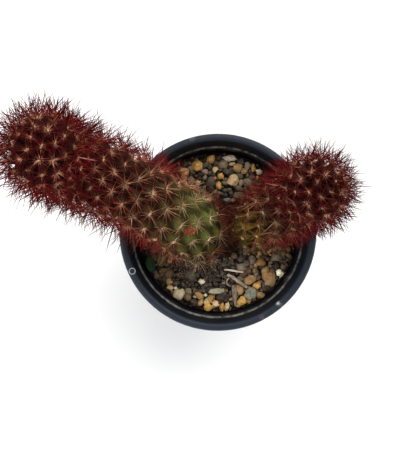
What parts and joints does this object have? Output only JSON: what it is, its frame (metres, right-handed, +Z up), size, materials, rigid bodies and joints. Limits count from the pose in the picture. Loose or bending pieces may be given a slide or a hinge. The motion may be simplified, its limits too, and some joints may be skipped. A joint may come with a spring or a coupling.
{
  "type": "potted ladyfinger cactus",
  "caption": "Ladyfinger cactus in a round black nursery pot: leaning finger-shaped stems with knobbly, red-spined skin, standing in gravelly soil with dry bits on top.",
  "frame": {"origin": "centre of the pot's flat base, on the surface that it stands on", "axes": "+Z up, +X towards the side that the shorter stem leans to, the long stem leaning towards -X and +Y"},
  "size_m": [0.1577, 0.103, 0.1592],
  "materials": {
    "pot_plastic": "satin",
    "gravel_soil": "matte",
    "cactus_stem": "matte",
    "dry_twig": "matte",
    "pale_twig": "matte",
    "grey_bark": "matte",
    "grey_chip": "matte",
    "green_leaf": "satin",
    "olive_leaf": "matte"
  },
  "bodies": {
    "root": {"pot": "pot_plastic", "soil": "gravel_soil", "stem_left": "cactus_stem", "stem_right": "cactus_stem", "twig_tan": "dry_twig", "twig_pale": "pale_twig", "rootlet": "dry_twig", "bark_grey": "grey_bark", "bark_blade": "grey_bark", "chip_pale": "grey_chip", "leaf_green": "green_leaf", "leaf_olive": "olive_leaf", "leaf_scrap": "olive_leaf"}
  },
  "joints": []
}
